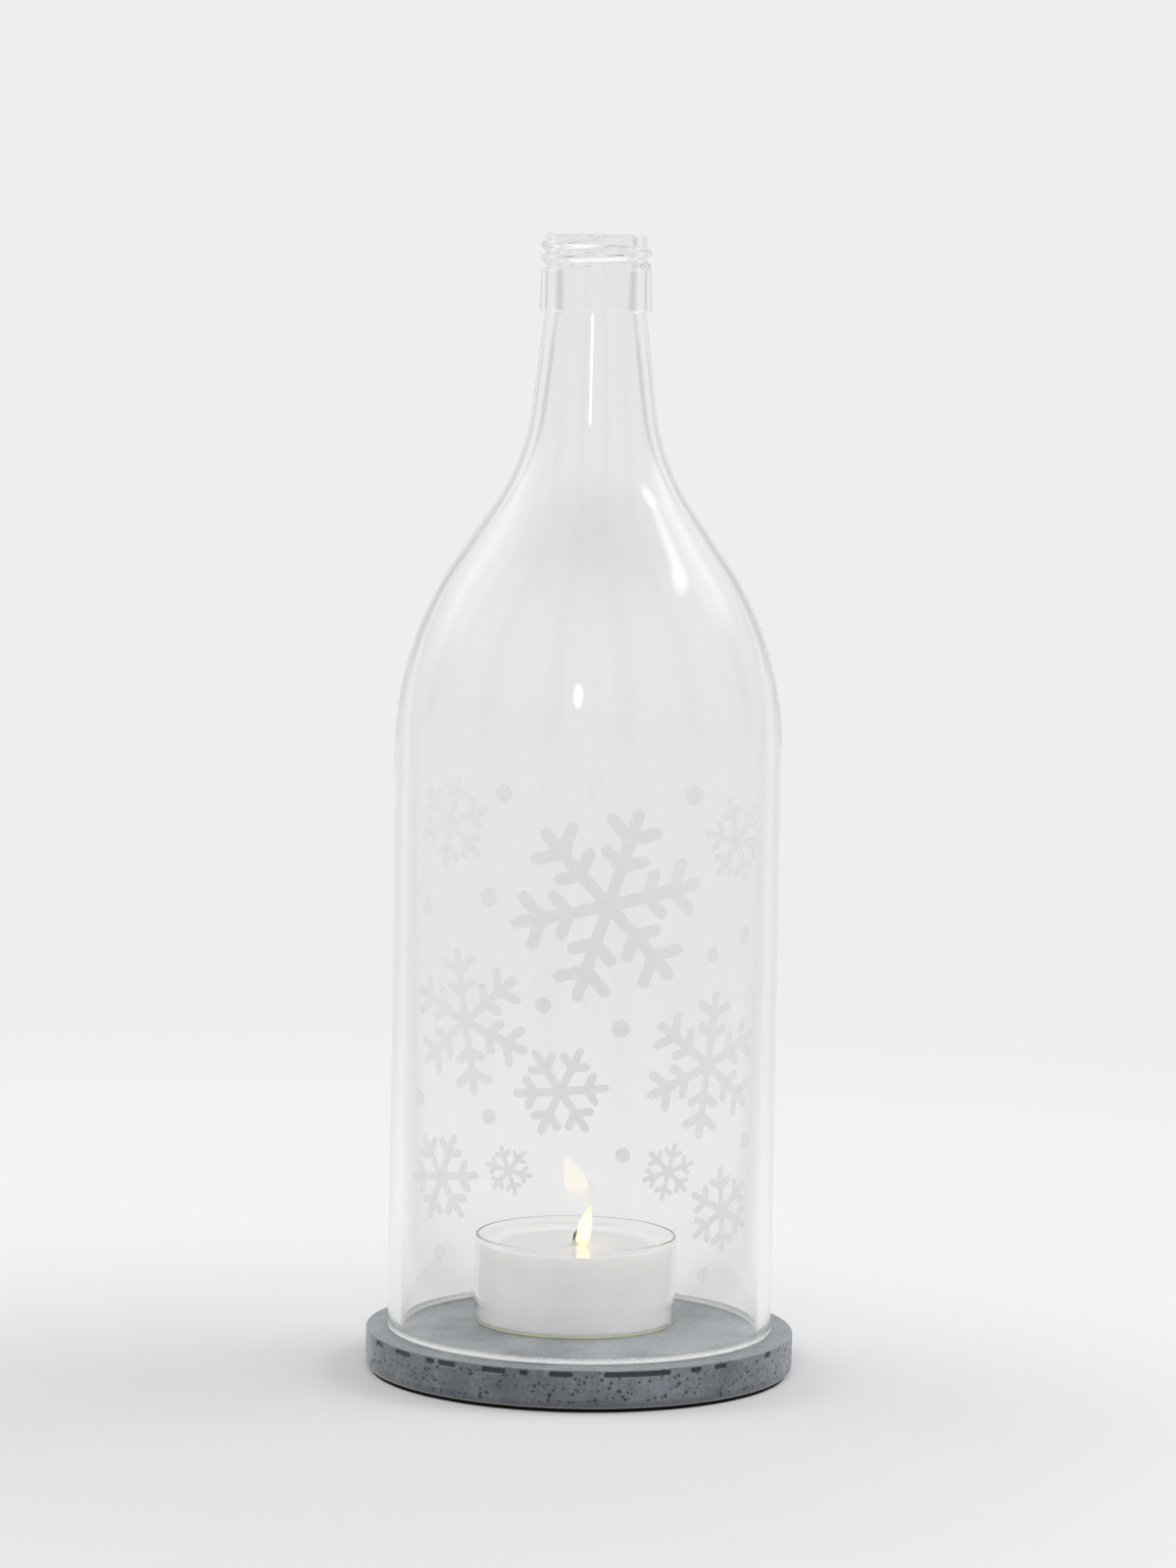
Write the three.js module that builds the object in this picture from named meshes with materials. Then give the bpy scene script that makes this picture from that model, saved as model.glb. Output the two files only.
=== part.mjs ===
// Bottle lantern: a bottomless glass bottle stands over a tealight on a round concrete base.
// Millimetres, +Z up. The origin is the centre of the foot pad's underside.
import * as THREE from 'three';

// Glass bottle: the body and its foot
const BOTTLE_HEIGHT = 301.2;
const BODY_RADIUS = 53;
const BODY_WALL = 3.6;
const FOOT_CHAMFER = 0.9;

// Glass bottle: shoulder and neck, with slopes measured from the axis in degrees
const SHOULDER_RADIUS = 92;
const SHOULDER_SLOPE = 34.6;
const NECK_SWEEP_RADIUS = 58;
const NECK_SLOPE = 7;
const NECK_LENGTH = 26.7;
const NECK_RADIUS = 13.8;
const NECK_WALL = 2.5;

// Glass bottle: collar and screw finish
const COLLAR_HEIGHT = 11.5;
const COLLAR_STEP = 1.5;
const COLLAR_DRAFT = 0.3;
const COLLAR_EDGE = 0.4;
const FINISH_HEIGHT = 9.5;
const LIP_ROUND = 0.8;
const THREAD_PITCH = 3.75;
const THREAD_TURNS = 1.85;
const THREAD_HEIGHT = 1.3;
const THREAD_ROOT_WIDTH = 2.3;
const THREAD_CREST_WIDTH = 0.8;
const THREAD_DROP = 2.1;
const THREAD_START = -75;
const THREAD_RUNOUT = 40;

// Concrete base and the rubber pad under it
const BASE_HEIGHT = 10.7;
const BASE_MARGIN = 6;
const BASE_TOP_CHAMFER = 0.5;
const BASE_FOOT_CHAMFER = 1.2;
const PAD_THICKNESS = 1;
const PAD_INSET = 0.3;

// Tealight: it stands loose on the base, a little behind the middle
const CANDLE_OFFSET_X = -1.3;
const CANDLE_OFFSET_Y = 10;
const CUP_RADIUS = 28;
const CUP_HEIGHT = 24.5;
const CUP_WALL = 0.7;
const CUP_FLOOR = 0.8;
const CUP_FOOT_ROUND = 1.4;
const WAX_BELOW_RIM = 2.4;
const WICK_RADIUS = 1.1;
const WICK_RISE = 4.5;
const WICK_LEAN = 2.4;
const SUSTAINER_RADIUS = 7;
const SUSTAINER_SHEET = 0.4;
const SUSTAINER_TUBE_WALL = 0.4;
const SUSTAINER_TUBE_HEIGHT = 6;
const CANDLE_CLEARANCE = 0.3;

// How finely round shapes are divided
const ROUND_STEPS = 48;
const SMALL_ROUND_STEPS = 24;
const WICK_SIDES = 10;
const WICK_STEPS = 10;
const ARC_STEP = 6;
const CORNER_STEPS = 3;
const THREAD_ROW = 0.4;

// Heights and radii that follow from the sizes above
const baseFoot = PAD_THICKNESS;
const baseTop = baseFoot + BASE_HEIGHT;
const baseRadius = BODY_RADIUS + BASE_MARGIN;
const padRadius = baseRadius - BASE_FOOT_CHAMFER - PAD_INSET;
const collarTop = BOTTLE_HEIGHT - FINISH_HEIGHT;
const collarFoot = collarTop - COLLAR_HEIGHT;
const boreRadius = NECK_RADIUS - NECK_WALL;
const lipRound = Math.min(LIP_ROUND, NECK_WALL / 2);
const cupBoreRadius = CUP_RADIUS - CUP_WALL;
const cupBoreRound = Math.max(CUP_FOOT_ROUND - CUP_WALL, 0);
const waxRadius = cupBoreRadius - CANDLE_CLEARANCE;
const waxTop = CUP_HEIGHT - WAX_BELOW_RIM;
const wickHoleRadius = WICK_RADIUS + CANDLE_CLEARANCE;
const tubeRadius = wickHoleRadius + SUSTAINER_TUBE_WALL;
const sustainerTop = CUP_FLOOR + SUSTAINER_TUBE_HEIGHT;

const point = (radius, height) => new THREE.Vector2(radius, height);

// Points on an arc about a centre, from one angle to another in degrees, both ends included.
function arc(centre, radius, from, to, steps = Math.ceil(Math.abs(to - from) / ARC_STEP)) {
  return Array.from({ length: steps + 1 }, (_, i) => {
    const angle = THREE.MathUtils.degToRad(from + (to - from) * (i / steps));
    return point(centre.x + radius * Math.cos(angle), centre.y + radius * Math.sin(angle));
  });
}

// A solid of revolution about Z from a half outline that runs up the outside and down the inside.
function revolve(outline, steps) {
  return new THREE.LatheGeometry(outline, steps).rotateX(Math.PI / 2);
}

// One wall face of the bottle, from the top of its body to the top of its neck. The straight flank
// between shoulder and neck takes up whatever the two arcs leave.
function flankOutline(bodyRadius, shoulderRadius, sweepRadius, neckRadius) {
  const slope = THREE.MathUtils.degToRad(SHOULDER_SLOPE);
  const neckSlope = THREE.MathUtils.degToRad(NECK_SLOPE);
  const neckFoot = point(neckRadius + NECK_LENGTH * Math.tan(neckSlope), collarFoot - NECK_LENGTH);
  const sweepCentre = point(
    neckFoot.x + sweepRadius * Math.cos(neckSlope),
    neckFoot.y + sweepRadius * Math.sin(neckSlope),
  );
  const sweep = arc(sweepCentre, sweepRadius, 180 + SHOULDER_SLOPE, 180 + NECK_SLOPE);
  const roomForShoulder = (bodyRadius - sweep[0].x) / (1 - Math.cos(slope));
  const roundRadius = Math.min(shoulderRadius, roomForShoulder);
  const flankRun = bodyRadius - roundRadius * (1 - Math.cos(slope)) - sweep[0].x;
  const shoulderCentre = point(
    bodyRadius - roundRadius,
    sweep[0].y - flankRun / Math.tan(slope) - roundRadius * Math.sin(slope),
  );
  const shoulder = arc(shoulderCentre, roundRadius, 0, SHOULDER_SLOPE);
  return [...shoulder, ...sweep, point(neckRadius, collarFoot)];
}

// The bottle's outside, from its ground foot to its lip.
function bottleOutside() {
  const collarRadius = NECK_RADIUS + COLLAR_STEP;
  const lipCentre = point(NECK_RADIUS - lipRound, BOTTLE_HEIGHT - lipRound);
  const rows = Math.ceil((lipCentre.y - collarTop) / THREAD_ROW);
  const finish = Array.from({ length: rows }, (_, i) =>
    point(NECK_RADIUS, collarTop + (lipCentre.y - collarTop) * (i / rows)));
  return [
    point(BODY_RADIUS - FOOT_CHAMFER, 0),
    point(BODY_RADIUS, FOOT_CHAMFER),
    ...flankOutline(BODY_RADIUS, SHOULDER_RADIUS, NECK_SWEEP_RADIUS, NECK_RADIUS),
    point(collarRadius - COLLAR_EDGE, collarFoot),
    point(collarRadius, collarFoot + COLLAR_EDGE),
    point(collarRadius - COLLAR_DRAFT, collarTop - COLLAR_EDGE),
    point(collarRadius - COLLAR_DRAFT - COLLAR_EDGE, collarTop),
    ...finish,
    ...arc(lipCentre, lipRound, 0, 90, CORNER_STEPS),
  ];
}

// The bottle's inside, from the lip down to the foot.
function bottleInside() {
  const innerRadius = BODY_RADIUS - BODY_WALL;
  const lipCentre = point(boreRadius + lipRound, BOTTLE_HEIGHT - lipRound);
  const flank = flankOutline(
    innerRadius,
    SHOULDER_RADIUS - BODY_WALL,
    NECK_SWEEP_RADIUS + NECK_WALL,
    boreRadius,
  );
  return [
    ...arc(lipCentre, lipRound, 90, 180, CORNER_STEPS),
    ...flank.reverse(),
    point(innerRadius, FOOT_CHAMFER),
    point(innerRadius + FOOT_CHAMFER, 0),
  ];
}

// How far the right-hand screw thread stands out of the finish at a bearing and a height. It starts
// under the lip, winds down clockwise as seen from above, and fades in and out at its ends.
function threadRise(bearing, height) {
  const sweep = THREAD_TURNS * 360;
  const slopeWidth = (THREAD_ROOT_WIDTH - THREAD_CREST_WIDTH) / 2;
  let rise = 0;
  let turned = THREE.MathUtils.euclideanModulo(THREAD_START - bearing, 360);
  while (turned < sweep) {
    const middle = BOTTLE_HEIGHT - THREAD_DROP - THREAD_PITCH * (turned / 360);
    const flank = (THREAD_ROOT_WIDTH / 2 - Math.abs(height - middle)) / slopeWidth;
    const fade = Math.min(turned, sweep - turned) / THREAD_RUNOUT;
    rise = Math.max(rise, THREAD_HEIGHT * Math.min(1, flank) * Math.min(1, fade));
    turned += 360;
  }
  return rise;
}

// Bottle glass with its thread raised out of the finish. Its foot is at height 0.
function bottleGeometry() {
  const outline = [...bottleOutside(), ...bottleInside()];
  const glass = revolve([...outline, outline[0]], ROUND_STEPS);
  const places = glass.attributes.position;
  const place = new THREE.Vector3();
  const middleOfWall = NECK_RADIUS - NECK_WALL / 2;
  for (let i = 0; i < places.count; i += 1) {
    place.fromBufferAttribute(places, i);
    const radius = Math.hypot(place.x, place.y);
    if (place.z <= collarTop || radius < middleOfWall) continue;
    const bearing = THREE.MathUtils.radToDeg(Math.atan2(place.y, place.x));
    const stretch = 1 + threadRise(bearing, place.z) / radius;
    places.setXY(i, place.x * stretch, place.y * stretch);
  }
  glass.computeVertexNormals();
  return glass;
}

// Concrete disc that the bottle and the tealight stand on. Its underside is at height 0.
function baseGeometry() {
  return revolve([
    point(0, 0),
    point(baseRadius - BASE_FOOT_CHAMFER, 0),
    point(baseRadius, BASE_FOOT_CHAMFER),
    point(baseRadius, BASE_HEIGHT - BASE_TOP_CHAMFER),
    point(baseRadius - BASE_TOP_CHAMFER, BASE_HEIGHT),
    point(0, BASE_HEIGHT),
  ], ROUND_STEPS);
}

// Thin round rubber pad under the base.
function padGeometry() {
  return revolve([
    point(0, 0),
    point(padRadius, 0),
    point(padRadius, PAD_THICKNESS),
    point(0, PAD_THICKNESS),
  ], ROUND_STEPS);
}

// The rounded lower corner of a can shape, from its floor up to its wall.
function footCorner(radius, floor, round) {
  return arc(point(radius - round, floor + round), round, -90, 0, CORNER_STEPS);
}

// Thin cup with a rounded foot. Its underside is at height 0.
function cupGeometry() {
  return revolve([
    point(0, 0),
    ...footCorner(CUP_RADIUS, 0, CUP_FOOT_ROUND),
    point(CUP_RADIUS, CUP_HEIGHT),
    point(cupBoreRadius, CUP_HEIGHT),
    ...footCorner(cupBoreRadius, CUP_FLOOR, cupBoreRound).reverse(),
    point(0, CUP_FLOOR),
  ], ROUND_STEPS);
}

// Wax fill, with the room that the wick and its metal foot take up inside it.
function waxGeometry() {
  const sheetRoom = CUP_FLOOR + SUSTAINER_SHEET + CANDLE_CLEARANCE;
  const tubeRoom = sustainerTop + CANDLE_CLEARANCE;
  const outline = [
    point(SUSTAINER_RADIUS + CANDLE_CLEARANCE, CUP_FLOOR),
    ...footCorner(waxRadius, CUP_FLOOR, cupBoreRound),
    point(waxRadius, waxTop),
    point(wickHoleRadius, waxTop),
    point(wickHoleRadius, tubeRoom),
    point(tubeRadius + CANDLE_CLEARANCE, tubeRoom),
    point(tubeRadius + CANDLE_CLEARANCE, sheetRoom),
    point(SUSTAINER_RADIUS + CANDLE_CLEARANCE, sheetRoom),
  ];
  return revolve([...outline, outline[0]], ROUND_STEPS);
}

// Metal foot: a round sheet with a short tube that grips the wick.
function sustainerGeometry() {
  const outline = [
    point(wickHoleRadius, CUP_FLOOR),
    point(SUSTAINER_RADIUS, CUP_FLOOR),
    point(SUSTAINER_RADIUS, CUP_FLOOR + SUSTAINER_SHEET),
    point(tubeRadius, CUP_FLOOR + SUSTAINER_SHEET),
    point(tubeRadius, sustainerTop),
    point(wickHoleRadius, sustainerTop),
  ];
  return revolve([...outline, outline[0]], SMALL_ROUND_STEPS);
}

// Wick: upright in the wax, then leaning over where it has burnt.
function wickGeometry() {
  const rod = new THREE.Shape(
    Array.from({ length: WICK_SIDES }, (_, i) => {
      const angle = (i / WICK_SIDES) * 2 * Math.PI;
      return point(WICK_RADIUS * Math.cos(angle), WICK_RADIUS * Math.sin(angle));
    }),
  );
  const upright = new THREE.LineCurve3(
    new THREE.Vector3(0, 0, CUP_FLOOR),
    new THREE.Vector3(0, 0, waxTop),
  );
  const burnt = new THREE.QuadraticBezierCurve3(
    new THREE.Vector3(0, 0, waxTop),
    new THREE.Vector3(0, 0, waxTop + WICK_RISE / 2),
    new THREE.Vector3(WICK_LEAN, 0, waxTop + WICK_RISE),
  );
  const path = new THREE.CurvePath();
  path.add(upright);
  path.add(burnt);
  return new THREE.ExtrudeGeometry(rod, {
    extrudePath: path,
    steps: WICK_STEPS,
    curveSegments: 1,
  });
}

function material(color, roughness, metalness = 0, opacity = 1) {
  return new THREE.MeshStandardMaterial({
    color,
    roughness,
    metalness,
    opacity,
    transparent: opacity < 1,
  });
}

function namedMesh(name, geometry, look) {
  const mesh = new THREE.Mesh(geometry, look);
  mesh.name = name;
  return mesh;
}

const base = namedMesh('concrete_base', baseGeometry(), material(0x8b939a, 0.85));
base.position.z = baseFoot;

const pad = namedMesh('foot_pad', padGeometry(), material(0x151515, 0.9));

const bottle = namedMesh('glass_bottle', bottleGeometry(), material(0xf4f8f7, 0.05, 0, 0.25));
bottle.position.z = baseTop;

const candle = new THREE.Group();
candle.position.set(CANDLE_OFFSET_X, CANDLE_OFFSET_Y, baseTop);
candle.add(
  namedMesh('candle_cup', cupGeometry(), material(0xf2f4ee, 0.15, 0, 0.35)),
  namedMesh('candle_wax', waxGeometry(), material(0xf3f2ee, 0.5)),
  namedMesh('wick', wickGeometry(), material(0x2b2420, 0.95)),
  namedMesh('wick_sustainer', sustainerGeometry(), material(0xb9bbbd, 0.35, 1)),
);

const lantern = new THREE.Group();
lantern.add(base, pad, bottle, candle);

export default lantern;
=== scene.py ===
import math
import random

import bmesh
import bpy
import numpy as np
from mathutils import Matrix, Vector


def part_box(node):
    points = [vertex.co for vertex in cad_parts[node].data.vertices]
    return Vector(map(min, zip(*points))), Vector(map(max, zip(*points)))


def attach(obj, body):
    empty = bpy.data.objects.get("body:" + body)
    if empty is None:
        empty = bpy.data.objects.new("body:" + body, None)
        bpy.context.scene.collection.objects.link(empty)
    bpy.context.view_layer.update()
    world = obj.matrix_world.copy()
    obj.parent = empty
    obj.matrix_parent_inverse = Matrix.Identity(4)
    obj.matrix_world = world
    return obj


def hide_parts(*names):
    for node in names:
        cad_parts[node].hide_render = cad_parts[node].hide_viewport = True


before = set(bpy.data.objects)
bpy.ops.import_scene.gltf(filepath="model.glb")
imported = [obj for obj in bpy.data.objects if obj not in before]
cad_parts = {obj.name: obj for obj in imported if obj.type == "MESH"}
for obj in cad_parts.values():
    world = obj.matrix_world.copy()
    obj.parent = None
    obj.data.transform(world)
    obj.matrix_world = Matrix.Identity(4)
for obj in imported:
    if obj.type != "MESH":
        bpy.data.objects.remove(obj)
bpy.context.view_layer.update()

MM = 0.001
# The bearing of the photographed front, in radians
FRONT = math.radians(-90)


def standing(node):
    """Where a round solid stands: the middle of its foot in metres, its radius and its height."""
    low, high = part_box(node)
    foot = Vector(((low.x + high.x) / 2, (low.y + high.y) / 2, low.z))
    return foot, (high.x - low.x) / 2 / MM, (high.z - low.z) / MM


bottle_foot, BODY_RADIUS, BOTTLE_HEIGHT = standing("glass_bottle")
base_foot, BASE_RADIUS, BASE_HEIGHT = standing("concrete_base")
pad_foot, PAD_RADIUS, PAD_THICKNESS = standing("foot_pad")
cup_foot, CUP_RADIUS, CUP_HEIGHT = standing("candle_cup")
wax_foot, _, WAX_HEIGHT = standing("candle_wax")

# What stands loose on the concrete is this far off it, so that no two faces lie in one plane
CONTACT_GAP = 0.05
# A flat end of a turned piece is closed by a disc of this radius in its middle
CAP_RADIUS = 2
# Points on a full circle are this far apart
CIRCLE_STEP = 15
# Faces along a rounded edge
ROUND_STEPS = 5

# Bottle glass, with its screw finish from the collar to the lip
BODY_WALL = 3.6
FOOT_ROUND = 0.9
GROUND_HEIGHT = 2.4
GROUND_FRAY = 0.9
SHOULDER_RADIUS = 92
SHOULDER_SLOPE = 34.6
NECK_SWEEP_RADIUS = 58
NECK_SLOPE = 7
NECK_LENGTH = 26.7
NECK_RADIUS = 13.8
NECK_WALL = 2.5
COLLAR_HEIGHT = 11.5
COLLAR_STEP = 1.5
COLLAR_DRAFT = 0.3
COLLAR_ROUND = 0.6
COLLAR_FOOT_ROUND = 0.5
FINISH_HEIGHT = 9.5
LIP_ROUND = 0.9
THREAD_PITCH = 3.75
THREAD_TURNS = 1.85
THREAD_HEIGHT = 1.3
THREAD_WIDTH = 3.6
THREAD_FULLNESS = 1.25
THREAD_DROP = 2.1
THREAD_START = -75
THREAD_RUNOUT = 40
BOTTLE_STEPS = 224
BOTTLE_ARC_STEP = 1.5
# Rows of points on the outside of the finish are this close, and end on the lip this far from the bore
THREAD_ROW = 0.2
LIP_INSET = 1

# Frosted snow crystals on the front of the bottle: where each one is along the wall to the right of the
# front and above the bottle's foot, how far its arms reach and how far it is turned
CRYSTALS = [
    (6, 124, 27, 12),
    (-34, 91, 20, 40),
    (36, 80, 20, 22),
    (-6, 74, 13, 5),
    (-40, 144, 13, 20),
    (46, 140, 12, 48),
    (-42, 48, 13, 8),
    (42, 40, 12, 33),
    (-20, 52, 7, 50),
    (24, 52, 8, 15),
]
# Dots between the crystals: where each one is, in the same way, and its radius
DOTS = [
    (-27, 125, 2.6),
    (-23, 153, 2.4),
    (30, 153, 2.8),
    (37, 110, 2.2),
    (-11, 97, 2.2),
    (10, 91, 2.4),
    (-49, 121, 2.4),
    (50, 114, 2.4),
    (-52, 68, 2.2),
    (-26, 66, 2.0),
    (11, 57, 2.0),
    (52, 58, 2.2),
    (-42, 27, 2.4),
    (36, 23, 2.2),
]
# Half the width of a crystal's strokes and its pairs of branches from the tip inwards, each with the place
# of its foot on the arm and its length, all as shares of the arm. Small crystals are plainer and bolder.
LARGE_CRYSTAL = (0.062, [(0.68, 0.27), (0.4, 0.22)])
SMALL_CRYSTAL = (0.085, [(0.54, 0.3)])
SMALL_CRYSTAL_REACH = 16
BRANCH_LEAN = 60
CRYSTAL_ARMS = 6
# Points on the round ends of the strokes are this far apart
STROKE_END_STEP = 18
# The frost is a shell of this thickness, a little off the glass
FROST_THICKNESS = 0.06
FROST_GAP = 0.03
# The share of the light that the frost scatters
FROST_COVER = 0.62
# The flat design is cut into strips of this width before it is wrapped round the body
WRAP_STEP = 2.0

# Concrete base
BASE_TOP_ROUND = 0.55
BASE_FOOT_ROUND = 1.7
BASE_STEPS = 1440
# Rows of points on the side are this close above this height, and this wide apart elsewhere
BASE_ROW = 0.26
BASE_ROW_START = 1
BASE_WIDE_ROW = 12
# The top has painted shade outside the bottle, which sets in from this far inside its wall to as far outside
OUTSIDE_SHADE_FADE = 1
# A thin dark line low on the side, and a pale band of painted light along the foot, as the light its edge
# catches from the floor
LOW_LINE_HEIGHT = 2.4
LOW_LINE_WIDTH = 0.16
FOOT_LIGHT_HEIGHTS = (0.3, 1.0)
# Casting voids along the top edge: bearing of the middle from the front, and length
EDGE_VOIDS = [
    (-67, 5.4),
    (-54, 7.4),
    (-42.7, 3.4),
    (-37, 6.2),
    (-22.7, 7.3),
    (-14.3, 2.5),
    (-4.5, 6.7),
    (15.8, 19),
    (32.6, 3.7),
    (40.6, 4.4),
    (60.5, 3.6),
]
VOID_HEIGHT = 1.75
VOID_DROP = 1.27
VOID_DEPTH = 0.6
VOID_EDGE = 0.28
# Voids round the back, each at a random place within its share of the span
BACK_VOIDS = 15
BACK_VOID_SPAN = (80, 280)
BACK_VOID_PLACE = (0.2, 0.8)
BACK_VOID_LENGTHS = (2.5, 8)
# Pores on the side, kept off its foot and its top edge
PORES = 600
PORE_RADII = (0.24, 0.64)
PORE_DEPTH = 0.4
PORE_STEEPNESS = 1.8
PORE_FOOT_MARGIN = 1.6
PORE_TOP_MARGIN = 1.2
VOID_SEED = 7

# Foot pad
PAD_ROUND = 0.15

# Tealight
CUP_WALL = 0.7
CUP_FLOOR = 0.8
CUP_FOOT_ROUND = 1.4
CUP_RIM_ROUND = 0.34
# The cup's foot is painted cloudy yellow-green as the light it gathers, and this painted light fades out
# between these heights
CUP_FOOT_LIGHT_HEIGHTS = (0.6, 1.4)
WAX_GAP = 0.06
WAX_ROW = 1.5
# The wax creeps up the cup's wall, and a bank leads down from its rim to the melted pool
CREEP_HEIGHT = 0.7
CREEP_WIDTH = 0.9
CREEP_ROUND = 0.5
CREEP_TIP_ROUND = 0.1
BANK_WIDTH = 2
BANK_DROP = 0.1
BANK_TOP_ROUND = 1.5
BANK_FOOT_ROUND = 1.2
POOL_DEPTH = 0.9
POOL_EDGE = 21
# The look of the melted pool fades out from this far inside its edge to the top of its bank
POOL_FADE = 1
# The pool climbs a little at the wick
MENISCUS_HEIGHT = 0.5
MENISCUS_WIDTH = 1.2
# Room in the wax for the wick and for its metal foot with its tube
WICK_ROOM = 0.05
SUSTAINER_ROOM_RADIUS = 7.3
SUSTAINER_ROOM_HEIGHT = 0.7
TUBE_ROOM_RADIUS = 2.1
TUBE_ROOM_HEIGHT = 6.3
# The wick is a braid of twisted strands that stand out by this share of its radius. Its twist is in
# radians. Its end rounds off over this last share of its length, down to this share of its cross-section,
# and it is charred from this far above the wax.
WICK_RADIUS = 1.1
WICK_RISE = 4.5
WICK_LEAN = 2.4
WICK_STRANDS = 4
WICK_TWIST = 9
WICK_LAY = 0.1
WICK_END = 0.03
WICK_END_AREA = 0.02
CHAR_RISE = 1.5
# The flame's foot is this far below the wax's rim, in the pool, and right of its middle. The flame is widest
# at this share of its height, its ends are this share of its width, and the powers shape its lean and point.
FLAME_SINK = 0.5
FLAME_SHIFT = 1.7
FLAME_HEIGHT = 10.4
FLAME_LEAN = 2.1
FLAME_LEAN_POWER = 1.4
FLAME_RADIUS = 2.05
FLAME_WIDEST = 0.18
FLAME_END_WIDTH = 0.02
FLAME_POINT_POWER = 0.75
FLAME_MANTLE = 0.3
CANDLE_STEPS = 160

# The photograph's camera, fitted to the base, foot and mouth ellipses, for a frame of 1200 by 1600 pixels.
# Its place is in metres.
FRAME_LONG_SIDE_PIXELS = 1600
FOCAL_LENGTH_PIXELS = 5543
SENSOR_LONG_SIDE = 36
CAMERA_PITCH = 5.76
CAMERA_ROLL = 0.95
CAMERA_PLACE = Vector((0, -1.482, 0.3122))


def arc(centre, radius, start, end, step):
    """Points on an arc from one angle to another, both ends included."""
    count = max(1, math.ceil(abs(end - start) / step))
    angles = [math.radians(start + (end - start) * i / count) for i in range(count + 1)]
    return [(centre[0] + radius * math.cos(a), centre[1] + radius * math.sin(a)) for a in angles]


def circle(centre, radius):
    """Points all the way round a circle."""
    return arc(centre, radius, 0, 360 - CIRCLE_STEP, CIRCLE_STEP)


def rounded(corners, support=0.12):
    """An outline through (radius, height, round) corners. Each round corner is a curve between its two
    sides, with one more point this far along each side that keeps the shading of the flat faces flat."""
    outline = []
    for i, (radius, height, size) in enumerate(corners):
        here = Vector((radius, height))
        if size == 0:
            outline.append((radius, height))
            continue
        back = (Vector(corners[i - 1][:2]) - here).normalized()
        ahead = (Vector(corners[(i + 1) % len(corners)][:2]) - here).normalized()
        reach = size / math.tan(back.angle(ahead) / 2)
        first = here + back * reach
        last = here + ahead * reach
        outline.append(tuple(first + back * support))
        for k in range(ROUND_STEPS + 1):
            t = k / ROUND_STEPS
            outline.append(tuple(first * (1 - t) ** 2 + here * 2 * t * (1 - t) + last * t ** 2))
        outline.append(tuple(last + ahead * support))
    return outline


def divided(outline, spacing):
    """The outline with more points, so that no step is longer than spacing(radius, height) there."""
    points = [outline[0]]
    for a, b in zip(outline, outline[1:]):
        room = spacing((a[0] + b[0]) / 2, (a[1] + b[1]) / 2)
        count = max(1, math.ceil(math.dist(a, b) / room))
        points += [
            (a[0] + (b[0] - a[0]) * k / count, a[1] + (b[1] - a[1]) * k / count)
            for k in range(1, count + 1)
        ]
    return points


def eased(x):
    """Clipped to 0..1 and smoothed at both ends."""
    x = np.clip(x, 0, 1)
    return x * x * (3 - 2 * x)


def turned_grid(outline, steps):
    """Bearings, radii and heights of an outline turned about Z: a row for each point of the outline."""
    bearing = np.linspace(0, 2 * np.pi, steps, endpoint=False)
    points = np.array(outline, float)
    bearings = np.repeat(bearing[None, :], len(points), axis=0)
    radii = np.repeat(points[:, :1], steps, axis=1)
    heights = np.repeat(points[:, 1:], steps, axis=1)
    return bearings, radii, heights


def grid_mesh(name, places, closed):
    """A closed mesh from a grid of places in millimetres: a row for each ring. The rings close on
    themselves, and the ends are capped unless the last ring meets the first."""
    count, steps, _ = places.shape
    index = np.arange(count * steps).reshape(count, steps)
    rows = np.vstack((index, index[:1])) if closed else index
    low = rows[:-1]
    high = rows[1:]
    quads = np.stack((low, np.roll(low, -1, axis=1), np.roll(high, -1, axis=1), high), axis=-1)
    faces = quads.reshape(-1, 4).tolist()
    if not closed:
        faces += [index[0][::-1].tolist(), index[-1].tolist()]
    mesh = bpy.data.meshes.new(name)
    mesh.from_pydata((places.reshape(-1, 3) * MM).tolist(), [], faces)
    return mesh


def turned_mesh(name, grid, closed=False):
    """A closed mesh from a turned grid of bearings, radii and heights."""
    bearings, radii, heights = grid
    places = np.stack((radii * np.cos(bearings), radii * np.sin(bearings), heights), axis=-1)
    return grid_mesh(name, places, closed)


def piece(mesh, foot, body, materials, sharp=40):
    """A piece that stands at foot and moves with a body, shaded smooth but for its sharp edges."""
    obj = bpy.data.objects.new(mesh.name, mesh)
    bpy.context.scene.collection.objects.link(obj)
    obj.location = foot
    for material in materials:
        mesh.materials.append(material)
    mesh.shade_smooth()
    mesh.set_sharp_from_angle(angle=math.radians(sharp))
    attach(obj, body)
    return obj


def blank_material(name):
    """A material with nothing but its output."""
    material = bpy.data.materials.new(name)
    material.use_nodes = True
    material.node_tree.nodes.clear()
    return material, material.node_tree, add(material.node_tree, "OutputMaterial")


def add(tree, kind, inputs=None, **settings):
    """A shader node with its settings and its inputs, each a value or another node's output."""
    node = tree.nodes.new("ShaderNode" + kind)
    for key, value in settings.items():
        setattr(node, key, value)
    for key, value in (inputs or {}).items():
        if isinstance(value, bpy.types.NodeSocket):
            tree.links.new(value, node.inputs[key])
        else:
            node.inputs[key].default_value = value
    return node


def ramp(tree, value, low, high, start, end):
    """The value carried smoothly from low..high to start..end and held beyond."""
    node = add(tree, "MapRange", {
        "Value": value, "From Min": low, "From Max": high, "To Min": start, "To Max": end,
    }, interpolation_type="SMOOTHSTEP")
    return node.outputs["Result"]


def blend(tree, factor, first, second, mode="MIX"):
    """Two colours mixed by a factor."""
    node = add(tree, "Mix", {0: factor, 6: first, 7: second}, data_type="RGBA", blend_type=mode)
    return node.outputs[2]


def maths(tree, operation, first, second=0.0):
    """The result of an operation on one or two numbers."""
    node = add(tree, "Math", {0: first, 1: second}, operation=operation)
    return node.outputs[0]


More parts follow.
